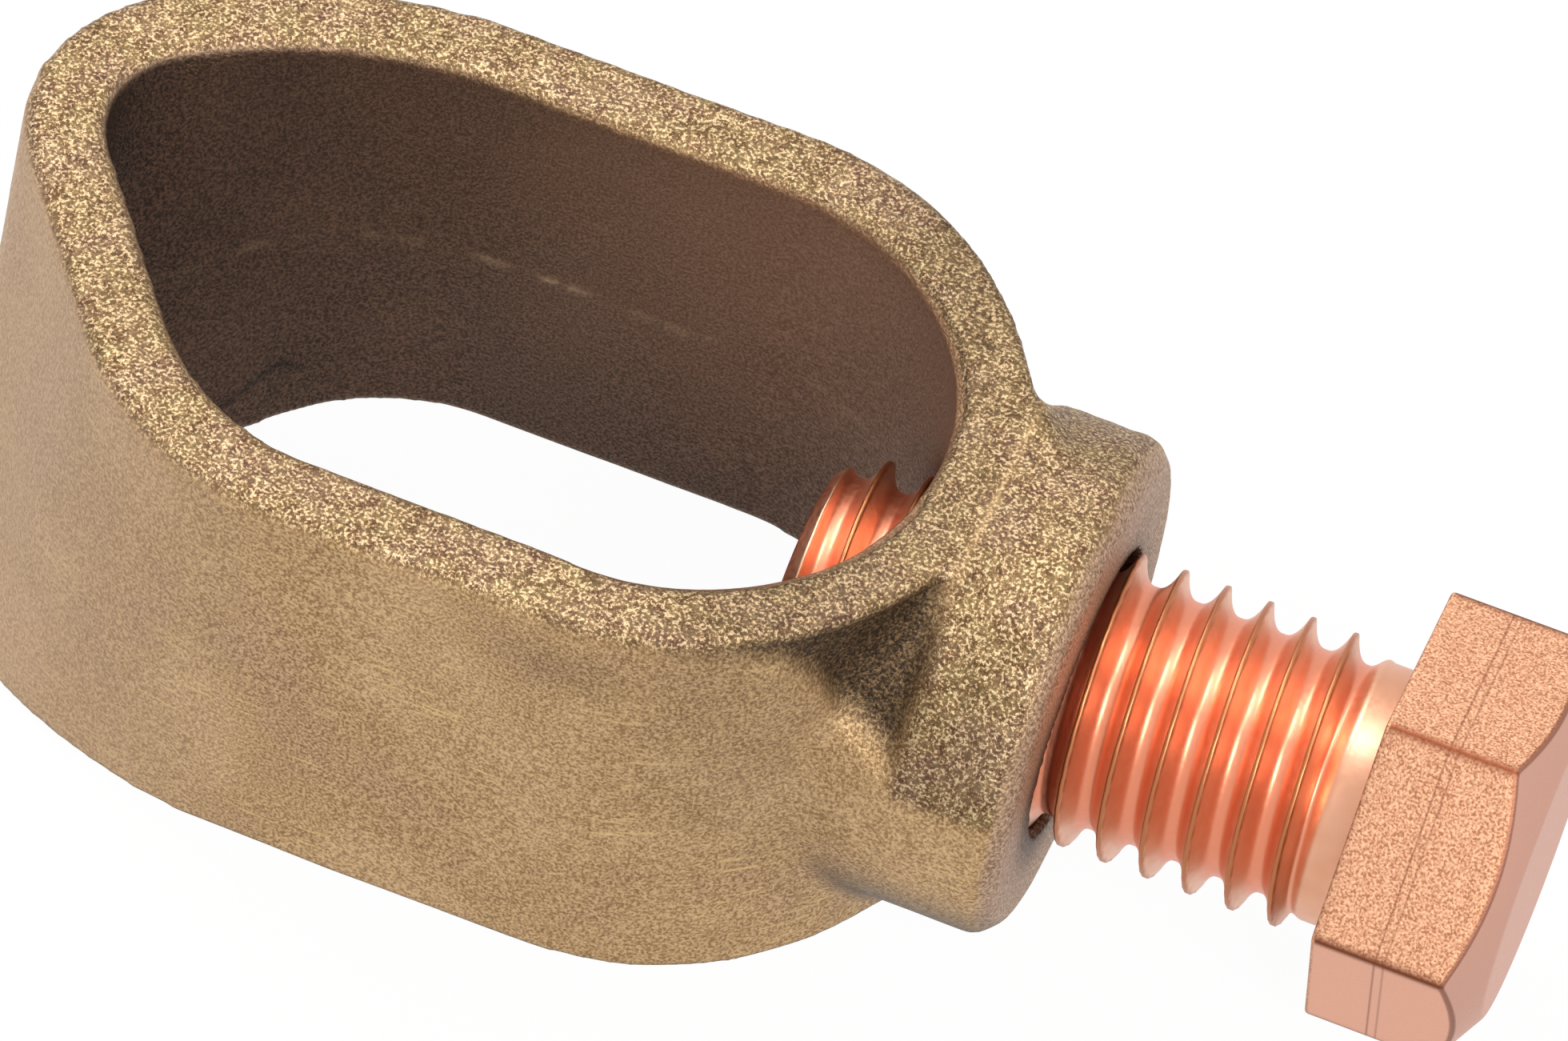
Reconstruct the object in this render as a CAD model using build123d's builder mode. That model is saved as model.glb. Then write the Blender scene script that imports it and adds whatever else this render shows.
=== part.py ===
"""Earth rod clamp: a cast gunmetal loop with a round boss, and the set bolt that screws through it.

The loop drops over an earth rod, which runs along Z. The bolt comes in along X through the boss
and presses the rod into the narrow nose at the other end of the loop. The origin is the centre of
the opening, on the bolt's axis. Millimetres throughout.
"""
import os
from math import cos, radians, sin, tan

from build123d import *

# ---- Driving dimensions: the loop ----
loop_height = 17.2          # from the lower rim to the upper rim
opening_length = 30.4       # from the nose to the round end, along the bolt
opening_width = 17.7        # between the two straight walls
wall = 2.8
nose_skew = 2.9             # of the nose to one side of the bolt's axis, at each rim
nose_radius = 3.5           # inside the nose
slant_angle = 217.8         # direction that the long side of the nose faces, in degrees
shoulder_angle = 120.9      # direction that the short side of the nose faces, in degrees
slant_roundness = 0.95      # of the corner where the long side of the nose meets the straight
                            # wall, as a share of half the opening's width
shoulder_roundness = 1.81   # of the corner at the short side, also as a share

# ---- Driving dimensions: the boss ----
boss_proud = 0.12           # of the round boss past each rim, before it is cut level with them
boss_stand_out = 3.5        # of the boss's end past the loop's round end
boss_bevel = 0.7            # round the edge of the boss's end
boss_root_fillet = 1.6      # where the boss grows out of the loop
bore_chamfer = 0.5

# ---- Driving dimensions: the bolt ----
bolt_diameter = 10.0        # over the thread
bolt_length = 20.5          # under the head
bolt_reach = 3.9            # of the tip past the loop's inner wall, into the opening
tip_chamfer = 0.9
neck_relief = 0.5           # of the neck under the head, on the radius
neck_length = 1.2
head_across_flats = 13.0
head_height = 5.7
head_chamfer_angle = 30.0   # of the turned cone that breaks the hexagon's corners
head_land_inset = 1.1       # of the flat end's edge from the middle of each flat
head_clocking = 49.4        # from the horizontal to the first corner of the hexagon, in degrees

# ---- Fits ----
bore_clearance = 0.05       # between the bolt and the bore, on the radius

# ---- Places that follow from the sizes ----
half_height = loop_height / 2
boss_radius = half_height + boss_proud
half_width = opening_width / 2
slant_corner_radius = slant_roundness * half_width
shoulder_corner_radius = shoulder_roundness * half_width
round_end_centre = opening_length / 2 - half_width
nose_centre = (nose_radius - opening_length / 2, nose_skew)
inner_wall_x = opening_length / 2
outer_wall_x = inner_wall_x + wall
boss_face_x = outer_wall_x + boss_stand_out
tip_x = inner_wall_x - bolt_reach
head_seat_x = tip_x + bolt_length
head_end_x = head_seat_x + head_height
bolt_radius = bolt_diameter / 2
bore_radius = bolt_radius + bore_clearance
head_land_radius = head_across_flats / 2 - head_land_inset
cone_drop = (head_across_flats - head_land_radius) * tan(radians(head_chamfer_angle))
neck_radius = bolt_radius - neck_relief


def reach(angle):
    """Distance from the origin to the side that touches the nose's round at this direction."""
    toward = Vector(cos(radians(angle)), sin(radians(angle)))
    return toward.dot(Vector(*nose_centre)) + nose_radius


def crossing(first_angle, first_reach, second_angle, second_reach):
    """Point where two straight sides meet, each given by its direction and its distance."""
    spread = sin(radians(second_angle - first_angle))
    first, second = radians(first_angle), radians(second_angle)
    x = (first_reach * sin(second) - second_reach * sin(first)) / spread
    y = (second_reach * cos(first) - first_reach * cos(second)) / spread
    return x, y


def rim_outline(skin, lean):
    """The loop's outline at one rim, grown outward from the opening by the skin.

    The nose leans to +Y at the upper rim, where lean is 1, and to -Y at the lower one, at -1.
    """
    near, slant = (270, half_width + skin), (slant_angle, reach(slant_angle) + skin)
    shoulder = (shoulder_angle, reach(shoulder_angle) + skin)
    far = (90, half_width + skin)
    corners = [crossing(*near, *slant), crossing(*slant, *shoulder), crossing(*shoulder, *far)]
    radii = [slant_corner_radius + skin, nose_radius + skin, shoulder_corner_radius + skin]
    start = (round_end_centre, -lean * (half_width + skin))
    end = (round_end_centre, lean * (half_width + skin))
    with BuildSketch(Plane.XY.offset(lean * half_height)) as outline:
        with BuildLine():
            FilletPolyline(start, *[(x, lean * y) for x, y in corners], end, radius=radii)
            ThreePointArc(end, (round_end_centre + half_width + skin, 0), start)
        make_face()
    return outline.sketch.face()


# ---- The casting: loop and boss in one piece ----
with BuildPart() as clamp_body:
    # The boss is turned round the bolt's axis, then cut off level with both rims.
    with BuildSketch(Plane.XZ):
        with Locations((round_end_centre, 0)):
            Rectangle(boss_face_x - round_end_centre, boss_radius, align=(Align.MIN, Align.MIN))
        chamfer(vertices().group_by(Axis.X)[-1].sort_by(Axis.Y)[-1], length=boss_bevel)
    revolve(axis=Axis.X)
    with BuildSketch(Plane.XY):
        with Locations((round_end_centre, 0)):
            Rectangle(2 * (boss_face_x - round_end_centre), 2 * boss_radius)
    extrude(amount=half_height, both=True, mode=Mode.INTERSECT)

    # The loop joins it, and a fillet runs down each side where the two meet.
    loft([rim_outline(wall, lean) for lean in (1, -1)], ruled=True)
    roots = edges().filter_by(lambda edge: edge.length > loop_height)
    roots = roots.filter_by_position(Axis.X, round_end_centre + wall, outer_wall_x)
    roots = roots.filter_by_position(Axis.Z, -wall, wall)
    fillet(roots, radius=boss_root_fillet)

    # The opening for the rod, and the bore for the bolt.
    loft([rim_outline(0, lean) for lean in (1, -1)], ruled=True, mode=Mode.SUBTRACT)
    with BuildSketch(Plane.XZ):
        with BuildLine():
            Polyline(
                (0, 0),
                (0, bore_radius),
                (boss_face_x - bore_chamfer, bore_radius),
                (boss_face_x, bore_radius + bore_chamfer),
                (boss_face_x, 0),
                close=True,
            )
        make_face()
    revolve(axis=Axis.X, mode=Mode.SUBTRACT)
clamp_body.part.label = "clamp_body"

# ---- The set bolt ----
with BuildPart() as clamp_bolt:
    # Head: a hexagon whose outer corners are turned off by a cone.
    with BuildSketch(Plane.YZ.offset(head_seat_x)):
        RegularPolygon(head_across_flats / 2, 6, major_radius=False, rotation=head_clocking)
    extrude(amount=head_height)
    with BuildSketch(Plane.XZ):
        with BuildLine():
            Polyline(
                (head_seat_x, 0),
                (head_seat_x, head_across_flats),
                (head_end_x - cone_drop, head_across_flats),
                (head_end_x, head_land_radius),
                (head_end_x, 0),
                close=True,
            )
        make_face()
    revolve(axis=Axis.X, mode=Mode.INTERSECT)

    # Shank: a neck under the head, the full thread diameter, and a chamfered tip.
    with BuildSketch(Plane.XZ):
        with BuildLine():
            Polyline(
                (tip_x, 0),
                (tip_x, bolt_radius - tip_chamfer),
                (tip_x + tip_chamfer, bolt_radius),
                (head_seat_x - neck_length, bolt_radius),
                (head_seat_x - neck_length, neck_radius),
                (head_seat_x, neck_radius),
                (head_seat_x, 0),
                close=True,
            )
        make_face()
    revolve(axis=Axis.X)
clamp_bolt.part.label = "clamp_bolt"

os.makedirs("parts", exist_ok=True)
export_step(clamp_body.part, "parts/clamp_body.step")
export_step(clamp_bolt.part, "parts/clamp_bolt.step")
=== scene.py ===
"""Earth rod clamp: a sand-cast gunmetal loop with a coppered set bolt, on a plain white floor."""
from math import cos, pi, radians, sin, tan

import bpy
import numpy as np
from mathutils import Matrix, Vector, noise
from mathutils.bvhtree import BVHTree


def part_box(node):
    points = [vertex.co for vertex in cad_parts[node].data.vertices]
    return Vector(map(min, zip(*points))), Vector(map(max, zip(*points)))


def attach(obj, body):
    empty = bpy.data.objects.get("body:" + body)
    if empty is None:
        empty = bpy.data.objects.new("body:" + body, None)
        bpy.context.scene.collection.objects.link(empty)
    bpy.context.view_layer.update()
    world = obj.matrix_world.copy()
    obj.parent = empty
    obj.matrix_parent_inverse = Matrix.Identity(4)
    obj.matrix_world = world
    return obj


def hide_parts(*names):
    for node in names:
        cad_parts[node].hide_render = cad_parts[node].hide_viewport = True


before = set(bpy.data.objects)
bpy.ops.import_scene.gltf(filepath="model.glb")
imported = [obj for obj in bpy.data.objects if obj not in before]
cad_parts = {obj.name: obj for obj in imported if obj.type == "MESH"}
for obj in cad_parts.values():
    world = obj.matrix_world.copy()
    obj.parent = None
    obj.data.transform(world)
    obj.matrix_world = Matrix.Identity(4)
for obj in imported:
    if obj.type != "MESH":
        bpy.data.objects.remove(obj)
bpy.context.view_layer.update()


# ---- The view ----
# The clamp lies on its lower rim. A long lens looks down on it from the bolt head's side, and is
# rolled a little, so that the bolt points down to the right.
MM = 0.001                                   # one millimetre, in metres
camera_azimuth = radians(14.391)
camera_elevation = radians(50.207)
camera_roll = radians(9.182)
camera_lens = 204.2                          # in millimetres, on a 36 mm wide frame
camera_distance = 295.8 * MM
aim = Vector((10.0, 1.537, 1.14)) * MM

camera_data = bpy.data.cameras.new("camera")
camera_data.lens = camera_lens
camera = bpy.data.objects.new("camera", camera_data)
bpy.context.scene.collection.objects.link(camera)
back = Vector((
    sin(camera_azimuth) * cos(camera_elevation),
    -cos(camera_azimuth) * cos(camera_elevation),
    sin(camera_elevation),
))
level_right = Vector((cos(camera_azimuth), sin(camera_azimuth), 0))
right = Matrix.Rotation(camera_roll, 3, back) @ level_right
up = back.cross(right)
camera.matrix_world = Matrix.Translation(aim + back * camera_distance) @ (
    Matrix((right, up, back)).transposed().to_4x4()
)
camera_data.clip_start = 10 * MM
camera_data.clip_end = 10.0
bpy.context.scene.camera = camera
bpy.context.scene.view_settings.view_transform = "Standard"


# ---- The floor and the light ----
# A sheet of white studio card under the clamp, and large soft lamps round it. The card keeps the
# clamp's faint shadow, and the room is white wherever the metal mirrors it.
casting_low, casting_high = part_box("clamp_body")
floor_half = 0.6                             # metres
even_white = 0.97                            # share of plain white in the card as it is seen
room_light = 0.55                            # strength of the room's light on the clamp
lamp_aim = Vector((0.01, 0, 0))
lamps = [
    # name, place in metres, size in metres, power in watts
    ("window_lamp", (-0.25, 0.20, 0.45), 0.30, 1.9),
    ("side_lamp", (0.30, -0.30, 0.35), 0.20, 1.9),
    ("gleam_lamp", (0.12, 0.05, 0.50), 0.17, 1.25),
]

floor_mesh = bpy.data.meshes.new("floor")
floor_mesh.from_pydata(
    [(side_x * floor_half, side_y * floor_half, casting_low.z)
     for side_x, side_y in ((-1, -1), (1, -1), (1, 1), (-1, 1))],
    [], [(0, 1, 2, 3)],
)
floor = bpy.data.objects.new("floor", floor_mesh)
bpy.context.scene.collection.objects.link(floor)
card = bpy.data.materials.new("white_card")
card.use_nodes = True
nodes, links = card.node_tree.nodes, card.node_tree.links
nodes.clear()
seen = nodes.new("ShaderNodeEmission")
seen.inputs["Color"].default_value = (1, 1, 1, 1)
seen.inputs["Strength"].default_value = 1.0
paper = nodes.new("ShaderNodeBsdfDiffuse")
paper.inputs["Color"].default_value = (0.9, 0.9, 0.9, 1)
ray = nodes.new("ShaderNodeLightPath")
seen_or_mirrored = nodes.new("ShaderNodeMath")
seen_or_mirrored.operation = "MAXIMUM"
share = nodes.new("ShaderNodeMath")
share.operation = "MULTIPLY"
share.inputs[1].default_value = even_white
blend = nodes.new("ShaderNodeMixShader")
sheet_end = nodes.new("ShaderNodeOutputMaterial")
links.new(ray.outputs["Is Camera Ray"], seen_or_mirrored.inputs[0])
links.new(ray.outputs["Is Glossy Ray"], seen_or_mirrored.inputs[1])
links.new(seen_or_mirrored.outputs[0], share.inputs[0])
links.new(share.outputs[0], blend.inputs[0])
links.new(paper.outputs[0], blend.inputs[1])
links.new(seen.outputs[0], blend.inputs[2])
links.new(blend.outputs[0], sheet_end.inputs["Surface"])
floor_mesh.materials.append(card)

room = bpy.data.worlds.new("white_room")
bpy.context.scene.world = room
room.use_nodes = True
nodes, links = room.node_tree.nodes, room.node_tree.links
nodes.clear()
ray = nodes.new("ShaderNodeLightPath")
seen_or_through = nodes.new("ShaderNodeMath")
seen_or_through.operation = "MAXIMUM"
not_lighting = nodes.new("ShaderNodeMath")
not_lighting.operation = "MAXIMUM"
strength = nodes.new("ShaderNodeMapRange")
strength.inputs["To Min"].default_value = room_light
strength.inputs["To Max"].default_value = 1.0
air = nodes.new("ShaderNodeBackground")
air.inputs["Color"].default_value = (1, 1, 1, 1)
room_end = nodes.new("ShaderNodeOutputWorld")
links.new(ray.outputs["Is Camera Ray"], seen_or_through.inputs[0])
links.new(ray.outputs["Is Transmission Ray"], seen_or_through.inputs[1])
links.new(seen_or_through.outputs[0], not_lighting.inputs[0])
links.new(ray.outputs["Is Glossy Ray"], not_lighting.inputs[1])
links.new(not_lighting.outputs[0], strength.inputs["Value"])
links.new(strength.outputs["Result"], air.inputs["Strength"])
links.new(air.outputs[0], room_end.inputs["Surface"])

for lamp_name, place, size, power in lamps:
    lamp_data = bpy.data.lights.new(lamp_name, "AREA")
    lamp_data.size = size
    lamp_data.energy = power
    lamp = bpy.data.objects.new(lamp_name, lamp_data)
    lamp.location = place
    lamp.rotation_euler = (lamp_aim - Vector(place)).to_track_quat("-Z", "Y").to_euler()
    lamp.visible_diffuse = lamp_name != "gleam_lamp"    # it only gleams in the metal
    bpy.context.scene.collection.objects.link(lamp)


# ---- The casting: loop and boss ----
# One piece of gunmetal, poured in a sand mould. The rims and the boss's top keep the coarse skin
# of the sand, the walls are drawn smoother, and the mould's joint leaves a thin ridge inside.
skin_voxel = 0.222                           # millimetres, of the mesh that the skin is worked on
edge_smoothing = 10                          # rounds, each of which wears the sharp edges a little
sand_depth = 0.045                           # millimetres, of the coarse skin
swell_depth = 0.05                           # of the slow unevenness of the walls
nose_middle_x = -11.7                        # middle of the nose's round
nose_skew = 2.9                              # of the nose to one side, at each rim
skew_from_x = -9                             # from here towards the nose
round_middle_x = 6.35                        # middle of the loop's round end
loop_inside_x = 15.6                         # just past the loop's inner wall
boss_from_x = 17.25                          # where the boss's own skin starts
bore_radius = 5.2
bore_from_x = 14
mouth_radius = 5.08                          # of the bore's mouth, close round the thread
mouth_outer = 5.75                           # radius within which the boss's face is drawn in
mouth_depth = 0.5                            # of its edge behind the boss's face
coarse_down_to = 1.8                         # height on the boss, above which the sand was coarse
ridge_height = 0.13                          # of the mould's joint inside the loop
ridge_half_width = 0.16
ridge_z = -0.2
pocket_depth = 0.55                          # of the hollow each side of the boss
pocket_floor = [                             # place along the bolt, and the hollow's lowest height
    (8, 7.9), (12.4, 7.3), (13.6, 6.7), (14.7, 5.4), (15.2, 4.0), (16.2, 3.2), (17.3, 2.4),
]
smudge_x, smudge_z = 7.4, 6.4                # of a dull stain high on the near wall
crack_x, crack_z = -10.2, -6.4               # of a fine crack low inside the loop
scratch_size = 0.5
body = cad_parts["clamp_body"]


def grown_mesh(source, name):
    """A close even mesh of a solid, in millimetres."""
    rough = bpy.data.objects.new(name, source.data.copy())
    rough.data.transform(Matrix.Scale(1 / MM, 4))
    bpy.context.scene.collection.objects.link(rough)
    voxels = rough.modifiers.new("voxels", "REMESH")
    voxels.mode = "VOXEL"
    voxels.voxel_size = skin_voxel
    worked = rough.evaluated_get(bpy.context.evaluated_depsgraph_get())
    made = bpy.data.meshes.new_from_object(worked)
    bpy.data.objects.remove(rough)
    return made


def points_of(mesh, what="co"):
    """The place of each point, or with "normal" the way that it faces."""
    flat = np.empty(len(mesh.vertices) * 3)
    mesh.vertices.foreach_get(what, flat)
    return flat.reshape(-1, 3)


def set_points(mesh, points):
    mesh.vertices.foreach_set("co", np.ascontiguousarray(points).ravel())
    mesh.update()


def worn(points, edges, rounds):
    """Each point moves towards the middle of its neighbours, which rounds the edges."""
    count = np.bincount(edges.ravel(), minlength=len(points))[:, None]
    for _ in range(rounds):
        total = np.stack([
            np.bincount(edges[:, 0], points[edges[:, 1], axis], len(points))
            + np.bincount(edges[:, 1], points[edges[:, 0], axis], len(points))
            for axis in range(points.shape[1])
        ], axis=1)
        points = points * 0.5 + total / count * 0.5
    return points


def drawn_to(points, solid, near, far):
    """Points nearer than near to the solid's surface go onto it, and those past far stay."""
    surface = BVHTree.FromPolygons(
        [v.co / MM for v in solid.data.vertices],
        [tuple(p.vertices) for p in solid.data.polygons],
    )
    found = [surface.find_nearest(Vector(p)) for p in points]
    closest = np.array([hit[0] for hit in found])
    share = np.clip((np.array([hit[3] for hit in found]) - near) / (far - near), 0, 1)[:, None]
    return closest * (1 - share) + points * share


def lumps(points, size, seed):
    """Smooth noise from -1 to 1, with lumps of that many millimetres."""
    shift = Vector((seed * 7.31, seed * 3.17, seed * 5.53))
    return np.array([noise.noise(Vector(p) / size + shift) for p in points])


def rising(value, start, over):
    """0 up to start and 1 from there plus over."""
    return np.clip((value - start) / over, 0, 1)


def falling(value, end, over):
    """0 from end on and 1 up to there less over."""
    return np.clip((end - value) / over, 0, 1)


def hump(value, middle, width):
    """1 at the middle, falling away softly to both sides."""
    return np.exp(-(((value - middle) / width) ** 2))


def marked(mesh, name, share):
    """Keeps a share for each point of the mesh, which the material reads by its name."""
    mesh.attributes.new(name, "FLOAT", "POINT").data.foreach_set("value", share)


casting_mesh = grown_mesh(body, "casting_rough")
joints = np.empty(len(casting_mesh.edges) * 2, np.int64)
casting_mesh.edges.foreach_get("vertices", joints)
joints = joints.reshape(-1, 2)
points = worn(points_of(casting_mesh), joints, edge_smoothing)
points = worn(drawn_to(points, body, 0.05, 0.12), joints, 2)
set_points(casting_mesh, points)
facing = points_of(casting_mesh, "normal")
along, sideways, height = points.T
faces_along, faces_sideways, faces_up = facing.T
from_axis = np.hypot(sideways, height)
low, high = np.array(casting_low) / MM, np.array(casting_high) / MM
half_height, boss_end = high[2], high[0]

# Where each point lies: inside the loop or the bore, on a rim, on the boss, or on the boss's end.
spine_x = np.clip(along, nose_middle_x, round_middle_x)
spine_y = np.where(along < skew_from_x, nose_skew * height / half_height, 0)
inward = faces_along * (along - spine_x) + faces_sideways * (sideways - spine_y) < 0
bore = (from_axis < bore_radius) & (along > bore_from_x)
inside = ((inward & (along < loop_inside_x)) | bore).astype(float)
inside *= falling(np.abs(height), half_height - 0.12, 0.25)
outside = inside < 0.5
rim = rising(np.abs(faces_up), 0.5, 0.3)
on_boss = rising(along, boss_from_x, 0.35) * outside
end_face = rising(faces_along, 0.55, 0.2) * rising(along, boss_end - 0.9, 0.3)
coarse = np.maximum(rim * (1 - on_boss), on_boss * rising(height, coarse_down_to, 0.5))
coarse *= 1 - end_face

# The hollow beside the boss, half as deep on the far side, painted shade in and near it, a dull
# stain.
floor_line = np.interp(along, *np.array(pocket_floor).T) + 0.3 * lumps(points, 1.6, 7)
hollow_and_shade = rising(height, floor_line, 1.3) * falling(along, 17.5, 0.4)
hollow_and_shade *= rising(np.abs(sideways), 1.2, 0.8) * (1 - rising(np.abs(faces_up), 0.72, 0.22))
hollow_and_shade *= outside * (along > 6)
hollow_and_shade = worn(hollow_and_shade[:, None], joints, 2)[:, 0] * np.where(sideways < 0, 1, 0.5)
# Painted shade on the wall and rim near the boss, then a dull stain high on the near wall.
shade_and_stain = hump(along, 13.0, 3.8) * rising(height, -6, 8) * outside
shade_and_stain *= 0.24 + 0.16 * rim
smudge = hump(along, smudge_x, 1.9) * hump(height, smudge_z, 1.0)
shade_and_stain = np.maximum(shade_and_stain, 0.3 * smudge * (sideways < -9) * outside)

# The crack, painted shade round the bolt, heavier on the near side, and under the casting.
crack = hump(height, crack_z + 0.45 * np.sin(along * 2.4), 0.16) * inside
crack *= np.clip(1 - (np.abs(along - crack_x) / 1.3) ** 4, 0, 1)
bore_shade = hump(from_axis, 5.0, 1.1) * (along > boss_end - 0.7)
bore_shade *= np.clip(0.35 - sideways / 6, 0.35, 1)
underside = rising(-faces_up, 0.2, 0.4) * outside

# How far the skin stands out: sand grain, slow swells, the mould's broken ridge, and the hollow.
grains = lumps(points, 0.55, 1) + 0.6 * lumps(points, 0.9, 2)
depth = sand_depth * np.maximum(coarse, 0.2) * np.where(height > 0, 1, 0.3) * grains
swells = lumps(points, 5.5, 3) + 0.5 * lumps(points, 2.4, 4)
depth += swell_depth * swells * (1 - 0.5 * rim)
wander = 0.25 * lumps(np.c_[along, np.zeros((len(points), 2))], 6, 5)
ridge = hump(height, ridge_z + wander, ridge_half_width)
broken = np.clip(0.35 + 1.3 * lumps(np.c_[along, sideways * 0.3, height * 0.5], 1.1, 6), 0, 1)
broken *= 0.12 + 0.88 * hump(along, -1.5, 2.8)
broken *= np.clip(0.7 + 1.2 * lumps(points, 0.45, 8), 0.1, 1.3)
depth += np.where(outside, 0, ridge * ridge_height * broken)
depth *= np.where(bore, 0.1, 1)
depth -= pocket_depth * hollow_and_shade * np.clip((along - 9) / 6, 0.3, 1)
# Masks for the material: painted shade, a stain, a crack, and a painted highlight on the ridge.
for mask_name, mask in (
    ("inside", inside), ("coarse", coarse), ("end_face", end_face),
    ("hollow_and_shade", np.maximum(hollow_and_shade, shade_and_stain)), ("underside", underside),
    ("bore_shade", bore_shade), ("crack", 0.8 * crack), ("flash_highlight", np.where(outside, 0, ridge * broken)),
):
    marked(casting_mesh, mask_name, mask)

# The worked skin, kept within the solid's reach, with the bore's mouth drawn in round the thread.
points = np.clip(points + facing * depth[:, None], low, high)
from_axis = np.hypot(points[:, 1], points[:, 2])
mouth = (points[:, 0] > boss_end - 0.55) & (from_axis < mouth_outer)
share = rising(from_axis, 5.05, 0.7)
drawn_in = mouth_radius + (mouth_outer - mouth_radius) * np.clip(share * 2 - 1, 0, 1)
points[:, 1:] *= np.where(mouth, drawn_in / from_axis, 1)[:, None]
lip_x = boss_end - mouth_depth * np.clip(1 - 2 * share, 0, 1)
points[:, 0] = np.where(mouth, lip_x, points[:, 0])
set_points(casting_mesh, points * MM)
casting_mesh.polygons.foreach_set("use_smooth", np.ones(len(casting_mesh.polygons), bool))


def colour(red, green, blue):
    """A screen colour, each part from 0 to 255, as the shader wants it."""
    return tuple(
        part / 12.92 if part <= 0.04045 else ((part + 0.055) / 1.055) ** 2.4
        for part in (red / 255, green / 255, blue / 255)
    ) + (1.0,)


gunmetal = bpy.data.materials.new("cast_gunmetal")
gunmetal.use_nodes = True
nodes, links = gunmetal.node_tree.nodes, gunmetal.node_tree.links
metal = nodes["Principled BSDF"]
metal.inputs["Metallic"].default_value = 0.75
place = nodes.new("ShaderNodeTexCoord").outputs["Object"]


def speckle(size, detail=2.0, roughness=0.5):
    """Noise with grains of that many millimetres."""
    grain = nodes.new("ShaderNodeTexNoise")
    grain.inputs["Scale"].default_value = 1 / (size * MM)
    grain.inputs["Detail"].default_value = detail
    grain.inputs["Roughness"].default_value = roughness
    links.new(place, grain.inputs["Vector"])
    return grain.outputs["Fac"]


def reach(value, start, end, first=0.0, last=1.0):
    """A share that goes from first to last as the value goes from start to end."""
    spread = nodes.new("ShaderNodeMapRange")
    limits = {"From Min": start, "From Max": end, "To Min": first, "To Max": last}
    for name, limit in limits.items():
        spread.inputs[name].default_value = limit
    links.new(value, spread.inputs["Value"])
    return spread.outputs["Result"]


def steps(value, *stops):
    """A ramp from a value to colours or greys, given as pairs of place and colour."""
    ramp = nodes.new("ShaderNodeValToRGB")
    while len(ramp.color_ramp.elements) < len(stops):
        ramp.color_ramp.elements.new(0.5)
    for element, (at, shade) in zip(ramp.color_ramp.elements, stops):
        element.position = at
        element.color = shade if isinstance(shade, tuple) else (shade, shade, shade, 1)
    links.new(value, ramp.inputs["Fac"])
    return ramp.outputs["Color"]


def mixed(share, first, second, way="MIX"):
    """One colour over another, by a share."""
    mixer = nodes.new("ShaderNodeMix")
    mixer.data_type = "RGBA"
    mixer.blend_type = way
    for socket, value in ((0, share), (6, first), (7, second)):
        if hasattr(value, "links"):
            links.new(value, mixer.inputs[socket])
        else:
            mixer.inputs[socket].default_value = value
    return mixer.outputs[2]


def attribute(name):
    """A share that was kept for each point of the mesh."""
    reader = nodes.new("ShaderNodeAttribute")
    reader.attribute_name = name
    return reader.outputs["Fac"]


def bumped(height, strength, distance, under=None):
    """A relief of that many millimetres, over another one where it is given."""
    bump = nodes.new("ShaderNodeBump")
    bump.inputs["Strength"].default_value = strength
    bump.inputs["Distance"].default_value = distance * MM
    links.new(height, bump.inputs["Height"])
    if under is not None:
        links.new(under, bump.inputs["Normal"])
    return bump.outputs["Normal"]


fine_sand = speckle(0.115, 2.5, 0.65)
middle_sand, patches = speckle(0.42, 2.0), speckle(5.0, 3.0)
apart = nodes.new("ShaderNodeSeparateXYZ")
links.new(place, apart.inputs[0])

# Rims: brown pits between pale bright grains.
rim_colour = steps(
    fine_sand,
    (0.39, colour(26, 17, 8)), (0.46, colour(74, 51, 28)),
    (0.53, colour(124, 96, 60)), (0.60, colour(220, 196, 156)),
)
coarser = steps(middle_sand, (0.35, colour(104, 66, 44)), (0.65, colour(184, 156, 112)))
tints = steps(
    speckle(2.2, 3.0),
    (0.4, colour(150, 128, 76)), (0.5, colour(150, 116, 82)), (0.6, colour(160, 124, 110)),
)
rim_colour = mixed(0.13, mixed(0.3, rim_colour, coarser), tints)

# Walls: smoother and warmer, with fine level scratches, and greyer towards the nose.
wall_colour = steps(
    patches,
    (0.35, colour(162, 122, 86)), (0.5, colour(172, 134, 86)), (0.65, colour(192, 154, 110)),
)
wall_grain = steps(fine_sand, (0.38, colour(98, 68, 42)), (0.62, colour(226, 196, 150)))
wall_colour = mixed(0.5, wall_colour, wall_grain)
drawn_out = nodes.new("ShaderNodeMapping")
drawn_out.inputs["Scale"].default_value = (0.25, 0.25, 3.0)
links.new(place, drawn_out.inputs["Vector"])
scratch = nodes.new("ShaderNodeTexNoise")
scratch.inputs["Scale"].default_value = 1 / (scratch_size * MM)
scratch.inputs["Detail"].default_value = 2.0
links.new(drawn_out.outputs["Vector"], scratch.inputs["Vector"])
scratches = steps(scratch.outputs["Fac"], (0.61, 0.0), (0.67, 0.7))
scratched_places = steps(speckle(4.0, 1.0), (0.45, 0.0), (0.6, 1.0))
scratches = mixed(1.0, scratches, scratched_places, "MULTIPLY")
wall_colour = mixed(scratches, wall_colour, colour(214, 184, 128))
greyed = reach(apart.outputs["X"], -2 * MM, -14 * MM, 0.0, 0.55)
wall_colour = mixed(greyed, wall_colour, colour(196, 166, 140))

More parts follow.
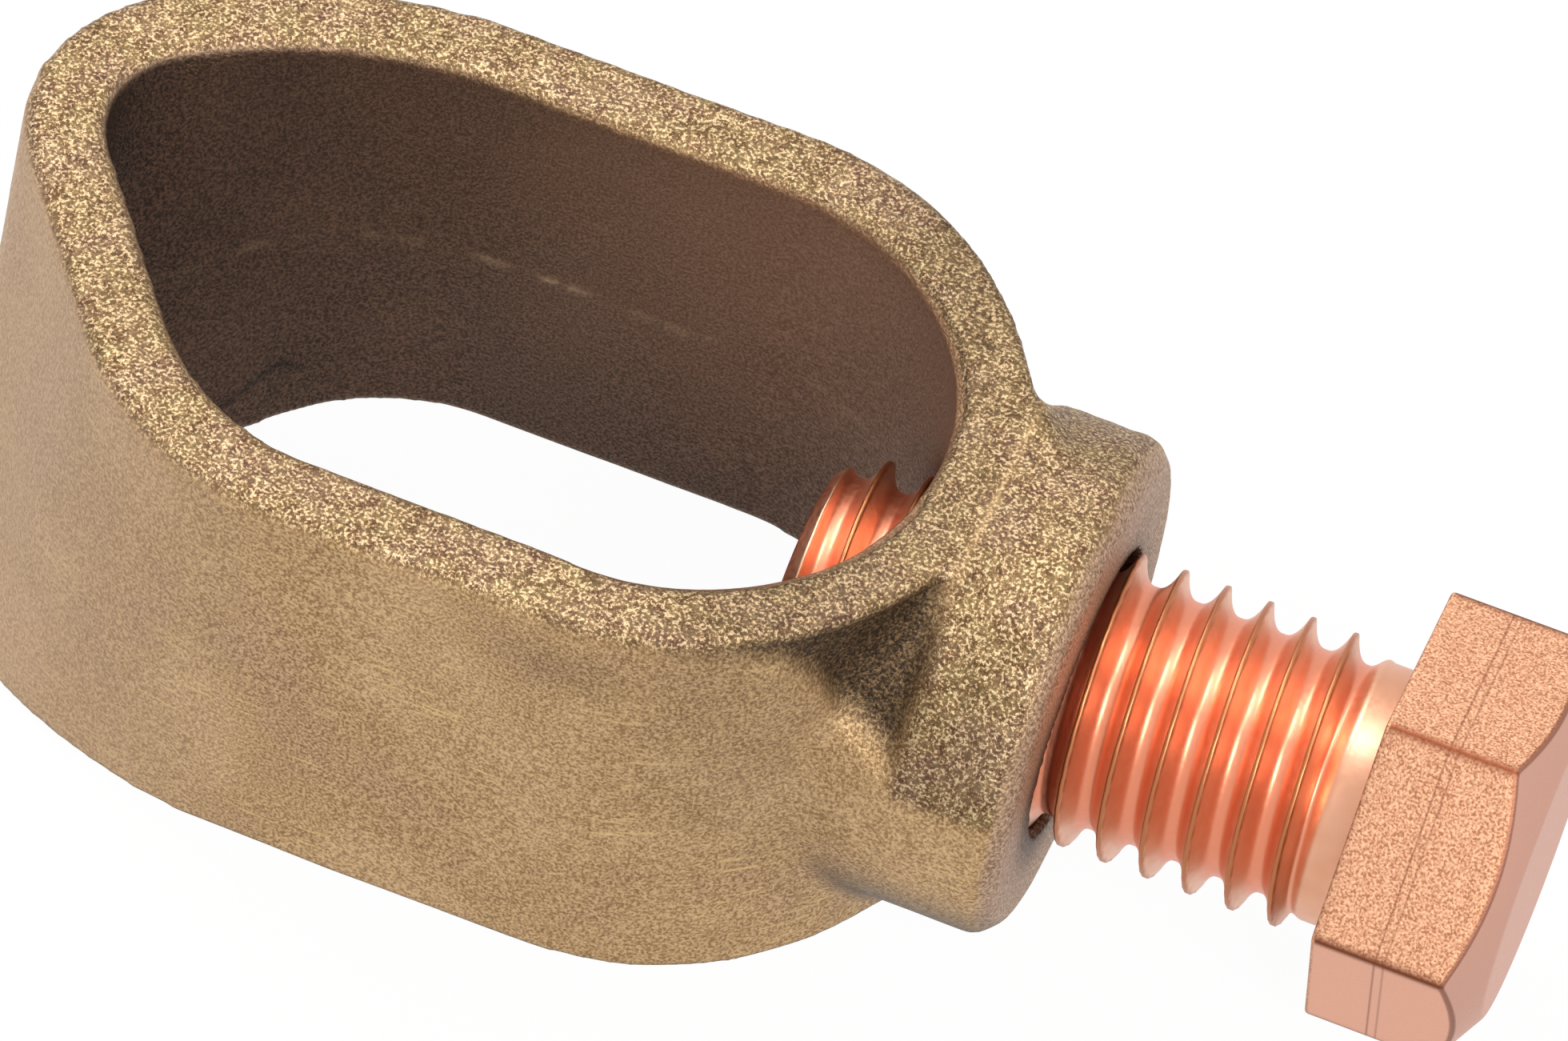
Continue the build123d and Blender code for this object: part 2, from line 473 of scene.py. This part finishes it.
# Inside the loop: dark with painted shade, darkest deep in the nose and near the floor.
less_shade_towards_boss = reach(apart.outputs["X"], -15 * MM, 9 * MM)
shade_low_down = reach(apart.outputs["Z"], -9 * MM, 6 * MM, 0.85, 0.0)
shaded_inner_patches = steps(patches, (0.35, colour(50, 34, 24)), (0.65, colour(110, 78, 58)))
shaded_inner_grain = steps(fine_sand, (0.40, colour(24, 15, 10)), (0.62, colour(134, 100, 78)))
shaded_inner_colour = mixed(less_shade_towards_boss, colour(18, 12, 9), colour(164, 120, 90))
shaded_inner_colour = mixed(shade_low_down, shaded_inner_colour, colour(34, 21, 14))
shaded_inner_colour = mixed(0.2, shaded_inner_colour, shaded_inner_patches)
shaded_inner_colour = mixed(0.36, shaded_inner_colour, shaded_inner_grain)
shaded_inner_colour = mixed(attribute("crack"), shaded_inner_colour, colour(16, 10, 7))
# Painted highlight on the mould's broken ridge.
shaded_inner_colour = mixed(attribute("flash_highlight"), shaded_inner_colour, colour(214, 178, 140))

# The boss's end with painted shade round the bolt, and painted shade in the hollow beside it.
face_colour = steps(fine_sand, (0.38, colour(124, 96, 74)), (0.62, colour(190, 160, 134)))
face_colour = mixed(attribute("bore_shade"), face_colour, colour(66, 44, 32))
# Painted shade for the hollow and the wall near the boss, also used for the stain.
shade_and_stain_colour = steps(
    fine_sand,
    (0.36, colour(40, 29, 19)), (0.5, colour(72, 55, 38)), (0.64, colour(122, 96, 66)),
)
skin_colour = mixed(attribute("coarse"), wall_colour, rim_colour)
skin_colour = mixed(attribute("end_face"), skin_colour, face_colour)
# Painted shade under the casting.
skin_colour = mixed(attribute("underside"), skin_colour, colour(72, 58, 46))
skin_colour = mixed(attribute("hollow_and_shade"), skin_colour, shade_and_stain_colour)
skin_colour = mixed(attribute("inside"), skin_colour, shaded_inner_colour)
links.new(skin_colour, metal.inputs["Base Color"])
links.new(steps(fine_sand, (0.35, 0.62), (0.65, 0.42)), metal.inputs["Roughness"])
links.new(bumped(fine_sand, 0.6, 0.10, bumped(middle_sand, 0.5, 0.10)), metal.inputs["Normal"])

casting_mesh.materials.clear()
casting_mesh.materials.append(gunmetal)
casting = bpy.data.objects.new("casting_skin", casting_mesh)
bpy.context.scene.collection.objects.link(casting)
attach(casting, "casting")
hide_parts("clamp_body")


# ---- The set bolt ----
# A hexagon-headed steel or brass screw with a rolled coarse thread, copper plated all over. It is
# screwed in by hand and tightened with a spanner on the head.
pitch = 1.5                                  # millimetres, as all lengths of the bolt
shank_radius = 5.0
thread_depth = 0.86
crest_half = 0.07                            # half of the narrow flat on each crest
root_half = 0.04                             # half of the narrow bottom of each groove
groove_hollow = 2.3                          # 1 is a straight V, and more hollows its sides
rows_a_pitch = 30                            # of the thread's mesh
columns = 120
crest_phase = -2.57                          # from the head's seat to the crest clocked below
crest_clocking = radians(39.0)               # from +Y towards +Z
neck_radius = 4.5
neck_length = 0.9
run_out = 0.8                                # over which the thread fades into the neck
tip_chamfer = 0.9
tip_rings = (1.4, 2.8, 3.7, 3.95)            # radii of the rings on the tip's flat end
across_flats = 13.0
head_height = 5.7
head_clocking = radians(49.4)                # of the first corner, from +Y towards +Z
corner_rounding = 0.28                       # of the six edges between the flats
edge_rounding = 0.16                         # round the head's seat, its cone and its flat end
land_radius = 5.4                            # of the flat end, inside the turned cone
end_rings = (4.6, 3.4, 2.0, 1.0)             # radii of the rings on it
cone_angle = radians(30)
flat_columns = 24                            # of the head's mesh, across each flat
flat_rings = 12                              # and along it
bolt_low, bolt_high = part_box("clamp_bolt")
tip_x, end_x = bolt_low.x / MM, bolt_high.x / MM
seat_x = end_x - head_height
turn = np.linspace(0, 2 * pi, columns, endpoint=False)


def thread_radius(x, angle):
    """Radius of the thread at a place along the bolt and an angle from +Y towards +Z."""
    turns = (x - (seat_x + crest_phase)) / pitch - (angle - crest_clocking) / (2 * pi)
    off = np.abs(turns - np.round(turns)) * pitch
    slope = rising(off, crest_half, pitch / 2 - root_half - crest_half)
    full = shank_radius - thread_depth * (1 - (1 - slope) ** groove_hollow)
    fade = falling(x, seat_x - neck_length - 0.1, run_out)
    fade = fade * fade * (3 - 2 * fade)
    radius = full * fade + neck_radius * (1 - fade)
    return np.minimum(radius, shank_radius - tip_chamfer + (x - tip_x))


def rounded_corner(before, corner, after, cut, count=5):
    """Points round a corner, which start and end that far from it."""
    first, last = (
        corner + (far - corner) / np.linalg.norm(far - corner, axis=-1, keepdims=True) * cut
        for far in (before, after)
    )
    return [
        first * (1 - t) ** 2 + corner * 2 * t * (1 - t) + last * t ** 2
        for t in np.linspace(0, 1, count)
    ]


def ring_mesh(name, rings, first_pole, last_pole):
    """A closed mesh from rings of points, each with the same count, and a point at each end."""
    count = len(rings[0])
    vertices = np.concatenate([[first_pole]] + rings + [[last_pole]]) * MM
    faces = [(0, 1 + (i + 1) % count, 1 + i) for i in range(count)]
    for ring in range(len(rings) - 1):
        a, b = 1 + ring * count, 1 + (ring + 1) * count
        faces += [(a + i, a + (i + 1) % count, b + (i + 1) % count, b + i) for i in range(count)]
    last, end = 1 + (len(rings) - 1) * count, len(vertices) - 1
    faces += [(last + i, last + (i + 1) % count, end) for i in range(count)]
    made = bpy.data.meshes.new(name)
    made.from_pydata(vertices.tolist(), [], faces)
    made.polygons.foreach_set("use_smooth", np.ones(len(made.polygons), bool))
    return made


def ring_at(x, radius, angles):
    """Points round the bolt, at one place and radius or at one of each for every angle."""
    x = np.broadcast_to(x, angles.shape)
    radius = np.broadcast_to(radius, angles.shape)
    return np.c_[x, radius * np.cos(angles), radius * np.sin(angles)]


rows = np.arange(tip_x, seat_x - 0.05, pitch / rows_a_pitch)
rings = [ring_at(tip_x, r, turn) for r in tip_rings]
rings += [ring_at(x, thread_radius(x, turn), turn) for x in rows]
rings.append(ring_at(seat_x + 0.1, neck_radius, turn))
shank_mesh = ring_mesh("shank", rings, (tip_x, 0, 0), (seat_x + 0.1, 0, 0))
spots = points_of(shank_mesh) / MM
from_axis = np.hypot(spots[:, 1], spots[:, 2])
# The bottoms of the grooves, which get painted shade, and the crests.
marked(shank_mesh, "root_shade", falling(from_axis, shank_radius - thread_depth + 0.35, 0.3))
marked(shank_mesh, "crest", rising(from_axis, shank_radius - 0.13, 0.08))

# The head: the hexagon's outline at each angle, with its corners rounded, then the turned cone.
apothem = across_flats / 2
swing = np.sin(np.linspace(-pi / 2, pi / 2, flat_columns + 1)[:-1]) * pi / 6
head_turn = np.concatenate([swing + pi / 6 + side * pi / 3 for side in range(6)])
from_flat = np.concatenate([swing] * 6)
corner_centre = (apothem - corner_rounding) / cos(pi / 6)
from_corner = pi / 6 - np.abs(from_flat)
flat_ends = np.arctan2(corner_centre * sin(pi / 6), apothem)
outline = np.where(
    np.abs(from_flat) < flat_ends,
    apothem / np.cos(from_flat),
    corner_centre * np.cos(from_corner)
    + np.sqrt(np.maximum(
        corner_rounding ** 2 - (corner_centre * np.sin(from_corner)) ** 2, 0
    )),
)
head_turn = head_turn + head_clocking
cone_starts = end_x - (outline - land_radius) * tan(cone_angle)


def profile_point(x, radius):
    """One place and radius, for every angle of the head's outline."""
    return np.stack([np.broadcast_to(value, outline.shape) for value in (x, radius)], axis=-1)


under, seat_edge = profile_point(seat_x, neck_radius), profile_point(seat_x, outline)
shoulder = np.stack([cone_starts, outline], axis=-1)
land_edge, middle = profile_point(end_x, land_radius), profile_point(end_x, 0)
profile = [profile_point(seat_x, 3.0), under, under * 0.5 + seat_edge * 0.5]
profile += rounded_corner(under, seat_edge, shoulder, edge_rounding)
first_side_ring = len(profile) - 1
side_start, side_end = profile[-1], shoulder - np.array([edge_rounding, 0])
for part in np.linspace(0, 1, flat_rings + 2)[1:-1]:
    profile.append(side_start * (1 - part) + side_end * part)
first_cone_ring = len(profile) + 2
profile += rounded_corner(seat_edge, shoulder, land_edge, edge_rounding)
profile += rounded_corner(shoulder, land_edge, middle, edge_rounding)
profile += [profile_point(end_x, r) for r in end_rings]
rings = [ring_at(p[:, 0], p[:, 1], head_turn) for p in profile]
head_mesh = ring_mesh("head", rings, (seat_x, 0, 0), (end_x, 0, 0))

# The turned end, the dark lines along the head's edges, and painted light on the flats facing
# down.
ring_numbers = np.arange(len(rings))[:, None]
past_cone = (ring_numbers >= first_cone_ring) * np.ones(len(outline))
on_side = 1.0 * ((ring_numbers >= first_side_ring) & (ring_numbers <= first_cone_ring))
at_cone = 1.0 * (np.abs(ring_numbers - first_cone_ring) <= 1)
line = np.maximum(on_side * hump(from_corner, 0, radians(1.3)), 0.7 * at_cone)
lit_from_below = rising(-np.sin(head_turn - from_flat), 0.2, 0.1) * on_side
for mask_name, mask, at_seat, at_end in (
    ("end", past_cone, 0, 1), ("edge_line", line, 0, 0), ("light_below", lit_from_below, 0, 0),
):
    marked(head_mesh, mask_name, np.concatenate([[at_seat], mask.ravel(), [at_end]]))

copper = bpy.data.materials.new("coppered_bolt")
copper.use_nodes = True
nodes, links = copper.node_tree.nodes, copper.node_tree.links
metal = nodes["Principled BSDF"]
metal.inputs["Metallic"].default_value = 1.0
place = nodes.new("ShaderNodeTexCoord").outputs["Object"]
grain, cloud = speckle(0.25, 2.0), speckle(2.0, 3.0)
plate = steps(cloud, (0.35, colour(220, 162, 130)), (0.65, colour(230, 176, 146)))
# Painted shade in the bottoms of the grooves.
plate = mixed(attribute("root_shade"), plate, colour(226, 142, 110))
plate = mixed(attribute("crest"), plate, colour(180, 112, 74))
links.new(plate, metal.inputs["Base Color"])
links.new(steps(grain, (0.3, 0.33), (0.7, 0.42)), metal.inputs["Roughness"])
links.new(bumped(grain, 0.12, 0.05), metal.inputs["Normal"])

satin = bpy.data.materials.new("satin_copper_head")
satin.use_nodes = True
nodes, links = satin.node_tree.nodes, satin.node_tree.links
metal = nodes["Principled BSDF"]
metal.inputs["Metallic"].default_value = 1.0
place = nodes.new("ShaderNodeTexCoord").outputs["Object"]
grain = speckle(0.09, 2.0)
plate = steps(
    grain,
    (0.36, colour(166, 112, 84)), (0.5, colour(202, 150, 118)), (0.64, colour(222, 176, 142)),
)
# Painted light on the flats that face down: lighter and without grain.
plate = mixed(attribute("light_below"), plate, colour(226, 170, 144))
plate = mixed(attribute("end"), plate, colour(204, 158, 140))
apart = nodes.new("ShaderNodeSeparateXYZ")
links.new(place, apart.inputs[0])
along_head = reach(apart.outputs["X"], seat_x * MM, end_x * MM)
thin_rings = steps(                          # two dark lines round the head, across its flats
    along_head,
    (0.375, 0.0), (0.385, 0.7), (0.395, 0.0), (0.43, 0.0), (0.44, 0.5), (0.45, 0.0),
)
line_colour = colour(120, 66, 44)
plate = mixed(thin_rings, plate, line_colour)
plate = mixed(attribute("edge_line"), plate, line_colour)
links.new(plate, metal.inputs["Base Color"])
links.new(steps(grain, (0.3, 0.45), (0.7, 0.6)), metal.inputs["Roughness"])
links.new(bumped(grain, 0.3, 0.05), metal.inputs["Normal"])

shank_mesh.materials.append(copper)
head_mesh.materials.append(satin)
shank = bpy.data.objects.new("bolt_shank", shank_mesh)
head = bpy.data.objects.new("bolt_head", head_mesh)
for piece in (shank, head):
    bpy.context.scene.collection.objects.link(piece)
    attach(piece, "bolt")
    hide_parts("clamp_bolt")
